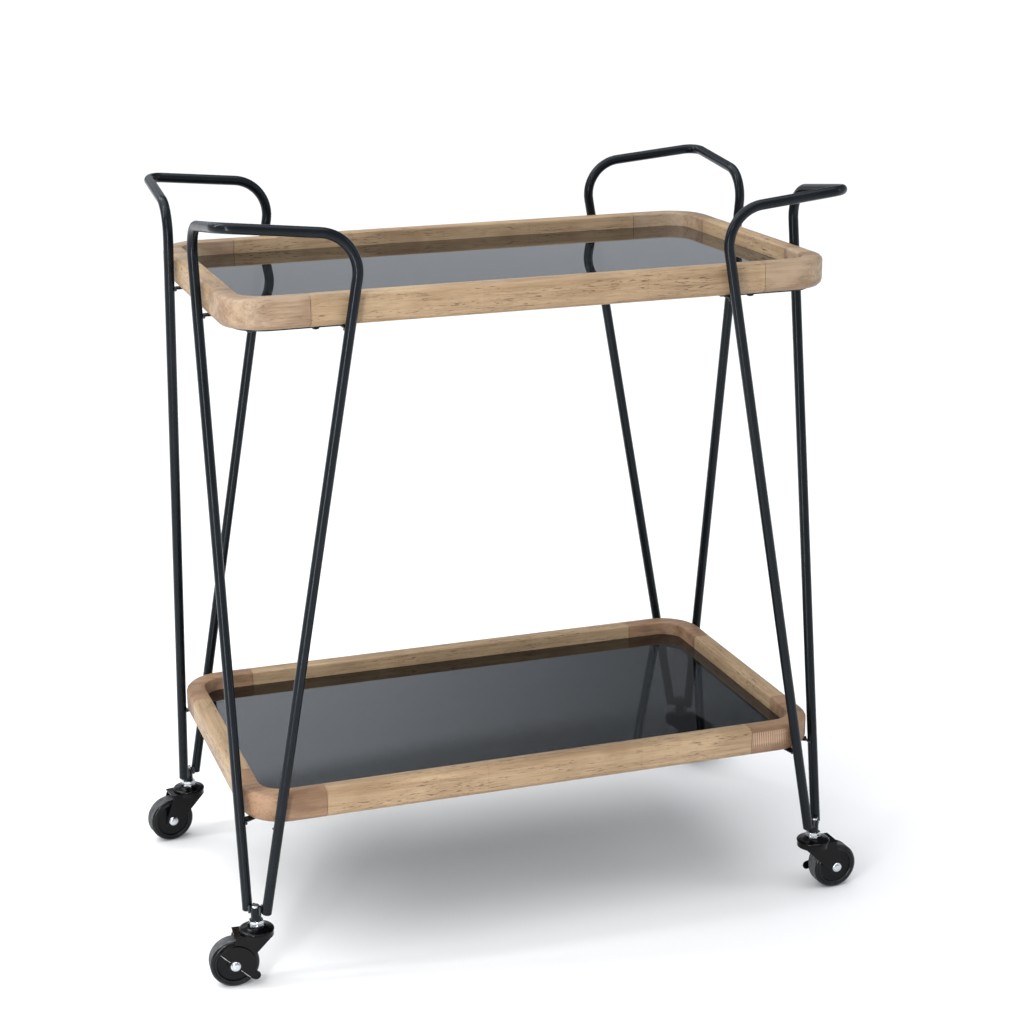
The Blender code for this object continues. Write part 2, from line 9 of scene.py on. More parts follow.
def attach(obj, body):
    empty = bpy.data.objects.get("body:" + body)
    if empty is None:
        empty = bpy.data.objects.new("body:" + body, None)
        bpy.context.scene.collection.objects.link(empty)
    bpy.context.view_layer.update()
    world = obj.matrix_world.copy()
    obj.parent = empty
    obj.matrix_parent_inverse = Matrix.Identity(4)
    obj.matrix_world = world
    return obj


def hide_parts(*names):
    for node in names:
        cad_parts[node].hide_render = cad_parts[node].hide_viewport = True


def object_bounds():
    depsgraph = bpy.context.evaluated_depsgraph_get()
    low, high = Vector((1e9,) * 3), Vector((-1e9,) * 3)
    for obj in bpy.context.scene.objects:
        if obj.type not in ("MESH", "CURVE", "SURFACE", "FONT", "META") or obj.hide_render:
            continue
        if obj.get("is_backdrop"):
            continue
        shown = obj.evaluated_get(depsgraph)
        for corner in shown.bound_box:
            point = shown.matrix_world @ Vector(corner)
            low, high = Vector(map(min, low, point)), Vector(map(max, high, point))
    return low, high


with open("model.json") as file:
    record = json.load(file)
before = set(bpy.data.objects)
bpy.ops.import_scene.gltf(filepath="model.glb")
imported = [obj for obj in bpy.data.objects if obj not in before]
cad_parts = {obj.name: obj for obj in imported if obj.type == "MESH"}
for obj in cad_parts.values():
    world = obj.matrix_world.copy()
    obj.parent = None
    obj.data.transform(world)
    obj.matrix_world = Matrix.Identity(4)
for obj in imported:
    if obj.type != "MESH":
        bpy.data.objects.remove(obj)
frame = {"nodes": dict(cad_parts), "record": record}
cad_low, cad_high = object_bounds()

# Lengths are in metres.

# Trays
TRAY_HALF_X = 0.300
TRAY_HALF_Y = 0.1755
TRAY_CORNER_R = 0.044
TRAY_HEIGHT = 0.029
SEAM_X = 0.223
RIM_Z = {"upper": 0.6675, "lower": 0.189}

# Corner bars, given for the corner at +X +Y
BAR_R = 0.005
LONG_SIDE_FOOT = Vector((0.2878, 0.1797, 0.0715))
LONG_SIDE_SHOULDER = Vector((0.1744, 0.1836, 0.7212))
HANDLE_CORNER = Vector((0.3054, 0.1776, 0.7341))
SHORT_SIDE_SHOULDER = Vector((0.3065, 0.0588, 0.7190))
SHORT_SIDE_FOOT = Vector((0.3033, 0.1657, 0.0715))
LONG_SIDE_BEND_R = 0.0366
HANDLE_CORNER_BEND_R = 0.0164
SHORT_SIDE_BEND_R = 0.0294
BEND_STEPS = 18
BAR_SIDES = 32
LEG_LENGTH = 0.66
SAWN_EDGE = 0.0007

# Sleeves and casters
SLEEVE = Vector((0.2970, 0.1743, 0.0))
WHEEL_R = 0.024
WHEEL_HALF = 0.009
TRAIL = 0.0232
STEM_R = 0.004
THREAD_PITCH = 0.00125
AXLE_HALF = 0.0116
BRAKE_THICKNESS = 0.0015
COLLAR_LOW, COLLAR_HIGH, COLLAR_BORE = 0.0573, 0.0614, 0.0039
NUT_LOW, NUT_HIGH, NUT_BORE = 0.0617, 0.0647, 0.0043
HEX_HALF_FLAT = 0.0065
HEX_REACH = 0.00695
HEX_CHAMFER = 0.0005
HEX_STEPS = 48

# Brakes: the plate's outer face, and the painted highlight along its straight edge, from near
# the axle to the tip
BRAKE_FACE = 0.01288
BRAKE_EDGE_NEAR = 0.0072
BRAKE_EDGE_FAR = 0.0198
BRAKE_EDGE_R = 0.00038

# Joining a CAD mesh's loose triangles: merging distance, and the degrees that count as flat
MERGE = 0.000004
FLAT = 1.0

# Edge easing, smallest first
SLEEVE_EASE = 0.0002
WOOD_EASE = 0.00022
PLATE_EASE = 0.0004
FORK_EASE = 0.00055
GLASS_EASE = 0.0006

# Welds: bead size and spacing, the foot welds' lowest point, height and distance from the
# middle, the plate's middle under the tray, and the tab welds' drop and half length
BEAD_R = 0.0014
BEAD_SPACING = 0.0011
FOOT_WELD_LOW = 0.0722
FOOT_WELD_HEIGHT = 0.0058
FOOT_WELD_SIDE = 0.0034
PLATE_MIDDLE = 0.0013
TAB_WELD_DROP = 0.0014
TAB_WELD_HALF = 0.0040
WELD_SEED = 11

# Plate screws: how far in from the rim, and how far under the tray
SCREW_INSET = 0.019
SCREW_DROP = 0.0024
SCREW_SEED = 5

# Studio: brightness of the backdrop, of its upper band and of the ceiling behind the cart,
# each at its left and right, and of the open front
BACKDROP_LIGHT = 0.62
BAND_LEFT = 0.96
BAND_RIGHT = 0.15
CEILING_LEFT = 0.46
CEILING_RIGHT = 0.10
FRONT_LIGHT = 0.62
# Directions from the cart: the heights where the band starts, is full and meets the ceiling,
# the slope of that meeting line, and where across it all turns dim
BAND_LOW = 0.22
BAND_HIGH = 0.32
BAND_END = 0.430
BAND_SLOPE = 0.148
BAND_BRIGHT = 0.15
BAND_DIM = 0.42
SKY_STRENGTH = 2.3
SKY_SPREAD = 80

# Corner name: side along X, side along Y, where the caster trails, in degrees
CORNERS = {
    "front_left": (-1, -1, 176),
    "front_right": (1, -1, 2),
    "back_left": (-1, 1, 189),
    "back_right": (1, 1, 6),
}
# Casters with a brake: how far the straight edge of its plate tips up, in degrees
BRAKED = {"front_left": 44, "front_right": 22}
LEVELS = ("upper", "lower")


class Value:
    """A number that varies over a surface. Its operators add Math nodes."""

    def __init__(self, graph, socket):
        self.graph = graph
        self.socket = socket

    def math(self, operation, first, second=None):
        inputs = {0: first}
        if second is not None:
            inputs[1] = second
        node = self.graph.node("ShaderNodeMath", {"operation": operation}, inputs)
        return Value(self.graph, node.outputs[0])

    def __add__(self, other):
        return self.math("ADD", self, other)

    def __radd__(self, other):
        return self.math("ADD", other, self)

    def __sub__(self, other):
        return self.math("SUBTRACT", self, other)

    def __rsub__(self, other):
        return self.math("SUBTRACT", other, self)

    def __mul__(self, other):
        return self.math("MULTIPLY", self, other)

    def __rmul__(self, other):
        return self.math("MULTIPLY", other, self)

    def __truediv__(self, other):
        return self.math("DIVIDE", self, other)

    def __lt__(self, other):
        return self.math("LESS_THAN", self, other)

    def whole(self):
        return self.math("FLOOR", self)

    def part(self):
        return self.math("FRACT", self)

    def sine(self):
        return self.math("SINE", self)

    def smooth(self, low, high):
        """0 below low, 1 above high and an S-curve between them."""
        node = self.graph.node(
            "ShaderNodeMapRange",
            {"interpolation_type": "SMOOTHSTEP"},
            {"Value": self, "From Min": low, "From Max": high},
        )
        return Value(self.graph, node.outputs[0])


class Graph:
    """Adds nodes to one node tree, from a type, its settings and its inputs."""

    def __init__(self, tree):
        self.tree = tree

    def node(self, kind, settings=None, inputs=None):
        made = self.tree.nodes.new(kind)
        for name, setting in (settings or {}).items():
            setattr(made, name, setting)
        for key, value in (inputs or {}).items():
            self.feed(made.inputs[key], value)
        return made

    def feed(self, socket, value):
        if isinstance(value, Value):
            value = value.socket
        if isinstance(value, bpy.types.NodeSocket):
            self.tree.links.new(value, socket)
        else:
            socket.default_value = value


class Finish(Graph):
    """One material, painted in the cart's own coordinates."""

    def __init__(self, name):
        self.material = bpy.data.materials.new(name)
        self.material.use_nodes = True
        super().__init__(self.material.node_tree)
        self.tree.nodes.clear()
        coordinates = self.node("ShaderNodeTexCoord").outputs
        self.place = coordinates["Object"]
        self.facing = coordinates["Normal"]

    def axes(self):
        split = self.node("ShaderNodeSeparateXYZ", None, {0: self.place})
        return [Value(self, socket) for socket in split.outputs]

    def noise(self, scale, detail=2.0, shift=(0.0, 0.0, 0.0), roughness=0.5, distortion=0.0):
        """Noise with its own scale, per metre, along each axis."""
        scaled = self.node(
            "ShaderNodeMapping",
            None,
            {"Vector": self.place, "Location": shift, "Scale": scale},
        )
        made = self.node(
            "ShaderNodeTexNoise",
            None,
            {
                "Vector": scaled.outputs[0],
                "Scale": 1.0,
                "Detail": detail,
                "Roughness": roughness,
                "Distortion": distortion,
            },
        )
        return Value(self, made.outputs[0])

    def mix(self, factor, first, second):
        made = self.node(
            "ShaderNodeMix", {"data_type": "RGBA"}, {0: factor, 6: first, 7: second}
        )
        return made.outputs[2]

    def bump(self, height, strength, distance):
        inputs = {"Height": height, "Strength": strength, "Distance": distance}
        return self.node("ShaderNodeBump", None, inputs).outputs[0]

    def surface(self, **inputs):
        named = {name.replace("_", " "): value for name, value in inputs.items()}
        shader = self.node("ShaderNodeBsdfPrincipled", None, named)
        self.node("ShaderNodeOutputMaterial", None, {"Surface": shader.outputs[0]})
        return self.material


def shade(red, green, blue):
    return (red, green, blue, 1.0)


def along(axis, lengthwise, across):
    """Scales with the grain along X or Y."""
    if axis == "X":
        return (lengthwise, across, across)
    return (across, lengthwise, across)


def wood(name, grain, pale, deep, fleck, pores, stave=None, blotch=0.25, comb=False):
    """Oiled open-pored wood: streaks, glued staves and short dark pores along the grain, with
    painted shade on faces that turn downwards.

    pores is how dark the pores are, stave the length of a glued stave in metres, blotch how
    cloudy the tone is, and comb adds the fine upright marks at one corner block's seam.
    """
    finish = Finish(name)
    x, y, z = finish.axes()
    length = x if grain == "X" else y
    streaks = finish.noise(along(grain, 9, 210), 5, (3.1, 1.7, 0.4), 0.6, 0.35)
    fine = finish.noise(along(grain, 42, 900), 3, (0.3, 2.2, 5.1), 0.6)
    blotches = finish.noise(along(grain, 16, 34), 3, (7.7, 0.2, 1.3), 0.5, 0.5)
    density = finish.noise(along(grain, 14, 90), 2, (2.9, 4.1, 0.8))
    grains = finish.noise(along(grain, 96, 980), 2, (1.1, 6.2, 3.3), 0.55, 0.25)
    needles = finish.noise(along(grain, 230, 1500), 2, (6.4, 0.9, 2.6), 0.55)

    tone = (streaks - 0.5) * 1.5 + (fine - 0.5) * 0.7 + (blotches - 0.5) * blotch * 4 + 0.5
    colour = finish.mix(tone.smooth(0.05, 0.95), pale, deep)
    if stave:
        board = length / stave + 0.37
        step = finish.node(
            "ShaderNodeTexWhiteNoise", {"noise_dimensions": "1D"}, {"W": board.whole()}
        )
        shift = Value(finish, step.outputs["Value"])
        colour = finish.mix(shift * 0.20, colour, deep)
        edge = (board.part() - 0.5) * (board.part() - 0.5)
        glue = edge.smooth(0.2462, 0.2494)
        colour = finish.mix(glue * 0.16, colour, fleck)
    # Painted shade: faces turning downwards are mixed towards the deep tone, more the further
    # they face down.
    facing = finish.node("ShaderNodeSeparateXYZ", None, {0: finish.facing}).outputs[2]
    under = (Value(finish, facing) * -1).smooth(0.05, 0.80)
    colour = finish.mix(under * 0.42, colour, deep)
    short = needles.smooth(0.60, 0.72) * 0.6
    pore = (grains.smooth(0.560, 0.69) + short) * density.smooth(0.32, 0.62)
    colour = finish.mix(pore * pores, colour, fleck)
    height = fine * 0.25 - pore
    if comb:
        teeth = (x * (math.tau / COMB_PITCH)).sine() * 0.5 + 0.5
        reach = x.smooth(SEAM_X, SEAM_X + 0.001) * (1 - x.smooth(COMB_END - 0.014, COMB_END))
        front = (y < COMB_FRONT) * (1 - z.smooth(COMB_TOP - 0.002, COMB_TOP))
        lift = z.smooth(COMB_TOP - 0.019, COMB_TOP - 0.012)
        mask = reach * front * lift
        colour = finish.mix(teeth.smooth(0.35, 0.75) * mask * 0.5, colour, COMB_COLOUR)
        height = height - teeth * mask * 0.3
    normal = finish.bump(height, 0.35, 0.00022)
    return finish.surface(
        Base_Color=colour,
        Roughness=0.44 + (streaks - 0.5) * 0.22 + pore * 0.2,
        Normal=normal,
        Specular_IOR_Level=0.42,
    )


def powder_coat(name):
    """Satin black coating with a fine orange peel and faint rubbed patches."""
    finish = Finish(name)
    peel = finish.noise((950, 950, 950), 2)
    rubbed = finish.noise((28, 28, 28), 4, (1.3, 0.2, 4.4), 0.6)
    cloud = rubbed.smooth(0.42, 0.72)
    colour = finish.mix(cloud, shade(0.0040, 0.0052, 0.0068), shade(0.0070, 0.0088, 0.0112))
    return finish.surface(
        Base_Color=colour,
        Roughness=0.20 + cloud * 0.07 + (peel - 0.5) * 0.06,
        Normal=finish.bump(peel, 0.10, 0.00004),
        Specular_IOR_Level=0.20,
        Specular_Tint=shade(0.86, 0.95, 1.0),
    )


def gloss_black(name):
    """Dipped gloss paint that flows unevenly over pressed steel."""
    finish = Finish(name)
    flow = finish.noise((140, 140, 140), 3, (0.4, 3.0, 1.1))
    scuffs = finish.noise((700, 240, 700), 3, (5.0, 1.0, 2.0), 0.7)
    worn = scuffs.smooth(0.60, 0.78)
    return finish.surface(
        Base_Color=finish.mix(
            worn, shade(0.0018, 0.0018, 0.0022), shade(0.0060, 0.0060, 0.0068)
        ),
        Roughness=0.08 + flow * 0.09 + worn * 0.18,
        Normal=finish.bump(flow, 0.22, 0.00035),
        Specular_IOR_Level=0.18,
    )


def moulded_plastic(name, polish=0.0):
    """Black moulded wheel body with faint flow marks, polished where it has been rubbed."""
    finish = Finish(name)
    grain = finish.noise((1300, 1300, 1300), 2)
    flow = finish.noise((90, 90, 90), 4, (2.0, 0.5, 7.0), 0.6)
    return finish.surface(
        Base_Color=finish.mix(
            flow.smooth(0.35, 0.7), shade(0.0018, 0.0021, 0.0025), shade(0.0046, 0.0050, 0.0058)
        ),
        Roughness=0.13 + flow * 0.11,
        Normal=finish.bump(grain, 0.10, 0.00004),
        Specular_IOR_Level=0.16,
        Coat_Weight=polish,
        Coat_Roughness=0.06,
    )


def edge_highlight_finish(name):
    """A painted highlight: bright steel in broken patches along an edge."""
    finish = Finish(name)
    patches = finish.noise((420, 420, 420), 3, (2.0, 6.0, 1.0), 0.6)
    # Painted highlight: the patches mix from dark steel to bright steel.
    highlight_mask = patches.smooth(0.30, 0.55)
    return finish.surface(
        Base_Color=finish.mix(highlight_mask, shade(0.10, 0.11, 0.12), shade(0.72, 0.75, 0.78)),
        Metallic=0.9,
        Roughness=0.36 - highlight_mask * 0.08,
        Normal=finish.bump(patches, 0.15, 0.00005),
    )


def tread_rubber(name):
    """Grey-black tread, dusty where it rolls."""
    finish = Finish(name)
    dust = finish.noise((260, 260, 260), 4, (1.0, 9.0, 3.0), 0.65)
    grit = finish.noise((1900, 1900, 1900), 2)
    return finish.surface(
        Base_Color=finish.mix(
            dust.smooth(0.38, 0.68), shade(0.040, 0.042, 0.045), shade(0.105, 0.109, 0.112)
        ),
        Roughness=0.62 + (grit - 0.5) * 0.2,
        Normal=finish.bump(grit, 0.3, 0.00008),
    )


def zinc_plate(name):
    """Bright zinc plating with soft clouding and light handling marks."""
    finish = Finish(name)
    cloud = finish.noise((420, 420, 420), 3)
    marks = finish.noise((2600, 500, 900), 3, (4.0, 1.0, 0.0), 0.6)
    return finish.surface(
        Base_Color=finish.mix(
            cloud.smooth(0.3, 0.7), shade(0.50, 0.53, 0.56), shade(0.70, 0.72, 0.74)
        ),
        Metallic=1.0,
        Roughness=0.09 + cloud * 0.10 + marks * 0.08,
        Normal=finish.bump(marks, 0.12, 0.00005),
    )


def weld_metal(name):
    """Coated weld: the same satin black, a little rougher, with ripples."""
    finish = Finish(name)
    ripple = finish.noise((1500, 1500, 1500), 3, (0.0, 2.0, 1.0), 0.6)
    return finish.surface(
        Base_Color=finish.mix(
            ripple.smooth(0.35, 0.7), shade(0.012, 0.014, 0.017), shade(0.040, 0.044, 0.050)
        ),
        Roughness=0.30 + ripple * 0.22,
        Normal=finish.bump(ripple, 0.5, 0.00018),
    )


def smoked_glass(name):
    """Smoked grey glass, tinted through, with faint wiping marks."""
    finish = Finish(name)
    smears = finish.noise((22, 60, 22), 5, (0.5, 1.5, 2.5), 0.65, 0.8)
    return finish.surface(
        Base_Color=finish.mix(smears, shade(0.027, 0.030, 0.033), shade(0.033, 0.036, 0.039)),
        Roughness=smears.smooth(0.45, 0.85) * 0.035,
        IOR=1.5,
        Transmission_Weight=1.0,
    )


PALE_RAIL = shade(0.452, 0.318, 0.186)
DEEP_RAIL = shade(0.276, 0.176, 0.094)
RAIL_FLECK = shade(0.070, 0.038, 0.020)
PALE_CORNER = shade(0.394, 0.282, 0.183)
DEEP_CORNER = shade(0.232, 0.145, 0.084)
RED_CORNER = shade(0.331, 0.199, 0.113)
DEEP_RED_CORNER = shade(0.180, 0.098, 0.052)
CORNER_FLECK = shade(0.110, 0.058, 0.034)
STAVE = 0.162
RAIL_PORES = 0.82
CORNER_PORES = 0.50
CORNER_BLOTCH = 0.55
# Upright comb marks: spacing, end along X, the face they are in, their top and their colour
COMB_PITCH = 0.00205
COMB_END = 0.268
COMB_FRONT = -0.171
COMB_TOP = RIM_Z["lower"] - 0.003
COMB_COLOUR = shade(0.74, 0.53, 0.37)

RAIL_LONG = wood(
    "oiled_rail_lengthwise", "X", PALE_RAIL, DEEP_RAIL, RAIL_FLECK, RAIL_PORES, STAVE
)
RAIL_CROSS = wood(
    "oiled_rail_crosswise", "Y", PALE_RAIL, DEEP_RAIL, RAIL_FLECK, RAIL_PORES, STAVE
)
PALE_BLOCK = wood(
    "oiled_corner_block", "X", PALE_CORNER, DEEP_CORNER, CORNER_FLECK, CORNER_PORES,
    blotch=CORNER_BLOTCH,
)
RED_BLOCK = wood(
    "oiled_red_corner_block", "X", RED_CORNER, DEEP_RED_CORNER, CORNER_FLECK, CORNER_PORES,
    blotch=CORNER_BLOTCH,
)
COMB_BLOCK = wood(
    "oiled_corner_block_comb", "X", RED_CORNER, DEEP_RED_CORNER, CORNER_FLECK, CORNER_PORES,
    blotch=CORNER_BLOTCH, comb=True,
)
GLASS = smoked_glass("smoked_glass_pane")
SATIN_BLACK = powder_coat("satin_black_powder_coat")
GLOSS_BLACK = gloss_black("gloss_black_paint")
PLASTIC = moulded_plastic("black_wheel_plastic")
RIM = moulded_plastic("black_wheel_rim", 0.22)
# The painted highlight for the brake plates' straight edges.
EDGE_HIGHLIGHT = edge_highlight_finish("worn_paint_edge")
TREAD = tread_rubber("grey_tread_rubber")
ZINC = zinc_plate("bright_zinc_plate")
WELD = weld_metal("coated_weld")


def body_of_node(node):
    for name, members in frame["record"]["behaviour"]["bodies"].items():
        if node in members:
            return name
    return "cart"


def new_item(name, data):
    item = bpy.data.objects.new(name, data)
    bpy.context.scene.collection.objects.link(item)
    return item


def fit_piece(name, mesh, body, material, stands_for=()):
    """Puts a finished mesh in the scene on its body, in the given material unless it has its
    own.
    """
    piece = new_item(name, mesh)
    if not mesh.materials:
        mesh.materials.append(material)
    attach(piece, body)
    if stands_for:
        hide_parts(*stands_for)


def plain_mesh(item, name):
    """The item's shape with its modifiers applied, as one mesh; the item goes."""
    bpy.context.view_layer.update()
    shape = item.evaluated_get(bpy.context.evaluated_depsgraph_get())
    mesh = bpy.data.meshes.new_from_object(shape)
    mesh.transform(item.matrix_world)
    mesh.name = name
    bpy.data.objects.remove(item)
    return mesh


def eased(node, material, edge, sharp, segments=2):
    """Fits a CAD node's own shape with its edges eased and its curves shaded smooth."""
    shape = bmesh.new()
    shape.from_mesh(frame["nodes"][node].data)
    bmesh.ops.remove_doubles(shape, verts=shape.verts, dist=MERGE)
    bmesh.ops.dissolve_degenerate(shape, edges=shape.edges, dist=MERGE)
    bmesh.ops.dissolve_limit(
        shape, angle_limit=math.radians(FLAT), verts=shape.verts, edges=shape.edges
    )
    mesh = mesh_of(shape, node + "_eased")
    mesh.materials.clear()
    item = new_item(node + "_eased", shaded(mesh, sharp))
    bevel = item.modifiers.new("eased_edges", "BEVEL")
    bevel.width = edge
    bevel.segments = segments
    bevel.limit_method = "ANGLE"
    bevel.angle_limit = math.radians(sharp)
    bevel.harden_normals = True
    made = plain_mesh(item, node + "_mesh")
    fit_piece(node + "_finished", made, body_of_node(node), material, (node,))


def turned(profile, steps):
    """A mesh turned about Z from (radius, z) points; a closed profile makes a ring."""
    shape = bmesh.new()
    rings = []
    for radius, z in profile:
        if radius < 1e-7:
            rings.append([shape.verts.new((0, 0, z))])
            continue
        ring = []
        for step in range(steps):
            angle = math.tau * step / steps
            ring.append(shape.verts.new((radius * math.cos(angle), radius * math.sin(angle), z)))
        rings.append(ring)
    pairs = list(zip(rings, rings[1:]))
    if len(rings[0]) > 1 and len(rings[-1]) > 1:
        pairs.append((rings[-1], rings[0]))
    for first, second in pairs:
        for step in range(steps):
            after = (step + 1) % steps
            loop = [first[step % len(first)], first[after % len(first)]]
            loop += [second[after % len(second)], second[step % len(second)]]
            corners = list(dict.fromkeys(loop))
            if len(corners) > 2:
                shape.faces.new(corners)
    bmesh.ops.recalc_face_normals(shape, faces=shape.faces)
    return shape


def caster_place(corner):
    """Where a caster's own frame stands: swivel axis at its origin, wheel along its +X."""
    side_x, side_y, turn = CORNERS[corner]
    return Matrix.Translation((side_x * SLEEVE.x, side_y * SLEEVE.y, 0)) @ Matrix.Rotation(
        math.radians(turn), 4, "Z"
    )


def wheel_place(corner):
    """The wheel's own frame: its axis along Z, standing across the caster."""
    return (
        caster_place(corner)
        @ Matrix.Translation((TRAIL, 0, WHEEL_R))
        @ Matrix.Rotation(math.radians(90), 4, "X")
    )


def shaded(mesh, sharp):
    """The mesh shaded smooth, with edges past an angle left sharp."""
    mesh.shade_smooth()
    mesh.set_sharp_from_angle(angle=math.radians(sharp))
    return mesh


def mesh_of(shape, name):
    mesh = bpy.data.meshes.new(name)
    shape.to_mesh(mesh)
    shape.free()
    return mesh


def smooth_mesh(shape, name, place, sharp):
    shape.transform(place)
    return shaded(mesh_of(shape, name), sharp)


# --- Trays ---------------------------------------------------------------------------

RAILS = {"front": RAIL_LONG, "back": RAIL_LONG, "left": RAIL_CROSS, "right": RAIL_CROSS}

for level in LEVELS:
    for side, rail in RAILS.items():
        eased(f"{level}_rail_{side}", rail, WOOD_EASE, 32)
    for corner in CORNERS:
        block = PALE_BLOCK if level == "upper" else RED_BLOCK
        if level == "lower" and corner == "front_right":
            block = COMB_BLOCK
        eased(f"{level}_corner_{corner}", block, WOOD_EASE, 32)
        eased(f"{level}_plate_{corner}", SATIN_BLACK, PLATE_EASE, 30)
    eased(f"{level}_glass", GLASS, GLASS_EASE, 40)


# --- Geometry Nodes: bars, welds and screws ------------------------------------------


class Tree(Graph):
    """A Geometry Nodes tree with named inputs. Its result is always one plain mesh."""

    def __init__(self, name, sizes):
        tree = bpy.data.node_groups.new(name, "GeometryNodeTree")
        super().__init__(tree)
        tree.interface.new_socket("Geometry", in_out="INPUT", socket_type="NodeSocketGeometry")
        for size, kind in sizes.items():
            tree.interface.new_socket(size, in_out="INPUT", socket_type=kind)
        tree.interface.new_socket("Geometry", in_out="OUTPUT", socket_type="NodeSocketGeometry")
        self.given = self.node("NodeGroupInput").outputs

    def close(self, geometry, material):
        real = self.node("GeometryNodeRealizeInstances", None, {0: geometry})
        painted = self.node(
            "GeometryNodeSetMaterial", None, {"Geometry": real.outputs[0], "Material": material}
        )
        self.node("NodeGroupOutput", None, {0: painted.outputs[0]})
        return self.tree


def run_tree(tree, mesh, sizes, name):
    """Runs a tree on a mesh with its sizes set, and gives back the plain mesh it makes."""
    item = new_item(name + "_guide", mesh)
    modifier = item.modifiers.new(tree.name, "NODES")
    modifier.node_group = tree
    for socket in tree.interface.items_tree:
        if socket.item_type == "SOCKET" and socket.in_out == "INPUT" and socket.name in sizes:
            modifier[socket.identifier] = sizes[socket.name]
    return plain_mesh(item, name)


def bar_tree(name, material):
    """A round bar swept along a path, thinner where the path's thickness says so."""
    tree = Tree(name, {"Bar Radius": "NodeSocketFloat", "Sides": "NodeSocketInt"})
    line = tree.node("GeometryNodeMeshToCurve", None, {0: tree.given["Geometry"]})
    ends = tree.node(
        "GeometryNodeInputNamedAttribute", {"data_type": "FLOAT"}, {"Name": "thickness"}
    )
    ring = tree.node(
        "GeometryNodeCurvePrimitiveCircle",
        {"mode": "RADIUS"},
        {"Resolution": tree.given["Sides"], "Radius": tree.given["Bar Radius"]},
    )
    bar = tree.node(
        "GeometryNodeCurveToMesh",
        None,
        {0: line.outputs[0], 1: ring.outputs[0], "Scale": ends.outputs[0], "Fill Caps": True},
    )
    return tree.close(bar.outputs[0], material)


def bead_tree():
    """Weld ripples: overlapping beads of uneven size along a line."""
    tree = Tree(
        "weld_bead",
        {
            "Bead Radius": "NodeSocketFloat",
            "Spacing": "NodeSocketFloat",
            "Seed": "NodeSocketInt",
        },
    )
    line = tree.node("GeometryNodeMeshToCurve", None, {0: tree.given["Geometry"]})
    spots = tree.node(
        "GeometryNodeCurveToPoints",
        {"mode": "LENGTH"},
        {0: line.outputs[0], "Length": tree.given["Spacing"]},
    )
    drop = tree.node(
        "GeometryNodeMeshIcoSphere",
        None,
        {"Radius": tree.given["Bead Radius"], "Subdivisions": 2},
    )
    size = tree.node(
        "FunctionNodeRandomValue",
        {"data_type": "FLOAT"},
        {2: 0.86, 3: 1.12, "Seed": tree.given["Seed"]},
    )
    beads = tree.node(
        "GeometryNodeInstanceOnPoints",
        None,
        {0: spots.outputs[0], "Instance": drop.outputs[0], "Scale": size.outputs[1]},
    )
    real = tree.node("GeometryNodeRealizeInstances", None, {0: beads.outputs[0]})
    soft = tree.node("GeometryNodeSetShadeSmooth", None, {0: real.outputs[0]})
    return tree.close(soft.outputs[0], WELD)


BAR_TREE = bar_tree("bar_along_path", SATIN_BLACK)
EDGE_TREE = bar_tree("bare_edge_along_path", EDGE_HIGHLIGHT)
BEAD_TREE = bead_tree()


def line_mesh(name, runs, thickness=None):
    """A mesh of loose edges through each run of points."""
    mesh = bpy.data.meshes.new(name)
    points = [point for run in runs for point in run]
    edges = []
    start = 0
    for run in runs:
        edges += [(start + i, start + i + 1) for i in range(len(run) - 1)]
        start += len(run)
    mesh.from_pydata([tuple(p) for p in points], edges, [])
    if thickness:
        layer = mesh.attributes.new("thickness", "FLOAT", "POINT")
        layer.data.foreach_set("value", thickness)
    return mesh


def bent(before, corner, after, radius):
    """Points round a bend between two straight runs."""
    to_before = (before - corner).normalized()
    to_after = (after - corner).normalized()
    half = to_before.angle(to_after) / 2
    centre = corner + (to_before + to_after).normalized() * radius / math.sin(half)
    start = corner + to_before * radius / math.tan(half) - centre
    end = corner + to_after * radius / math.tan(half) - centre
    turn = start.angle(end)
    points = []
    for step in range(BEND_STEPS + 1):
        share = step / BEND_STEPS
        points.append(
            centre
            + start * (math.sin((1 - share) * turn) / math.sin(turn))
            + end * (math.sin(share * turn) / math.sin(turn))
        )
    return points


def bar_path():
    """One corner's bar from foot to foot, with its thickness at each point."""
    path = [LONG_SIDE_FOOT, LONG_SIDE_FOOT.lerp(LONG_SIDE_SHOULDER, SAWN_EDGE / LEG_LENGTH)]
    path += bent(LONG_SIDE_FOOT, LONG_SIDE_SHOULDER, HANDLE_CORNER, LONG_SIDE_BEND_R)
    path += bent(LONG_SIDE_SHOULDER, HANDLE_CORNER, SHORT_SIDE_SHOULDER, HANDLE_CORNER_BEND_R)
    path += bent(HANDLE_CORNER, SHORT_SIDE_SHOULDER, SHORT_SIDE_FOOT, SHORT_SIDE_BEND_R)
    path.append(SHORT_SIDE_FOOT.lerp(SHORT_SIDE_SHOULDER, SAWN_EDGE / LEG_LENGTH))
    path.append(SHORT_SIDE_FOOT)
    thickness = [1.0] * len(path)
    thickness[0] = thickness[-1] = 1 - SAWN_EDGE / BAR_R * 0.8
    return path, thickness


def leg_at(foot, shoulder, z):
    return foot.lerp(shoulder, (z - foot.z) / (shoulder.z - foot.z))


def groove_lines(leg):
    """The two upright grooves between a leg's foot and its sleeve, as runs of points."""
    towards = Vector((SLEEVE.x - leg.x, SLEEVE.y - leg.y, 0))
    across = Vector((-towards.y, towards.x, 0)).normalized()
    middle = Vector((leg.x, leg.y, 0)) + towards / 2
    heights = (FOOT_WELD_LOW, FOOT_WELD_LOW + FOOT_WELD_HEIGHT)
    return [
        [middle + across * side * FOOT_WELD_SIDE + Vector((0, 0, height)) for height in heights]
        for side in (-1, 1)
    ]


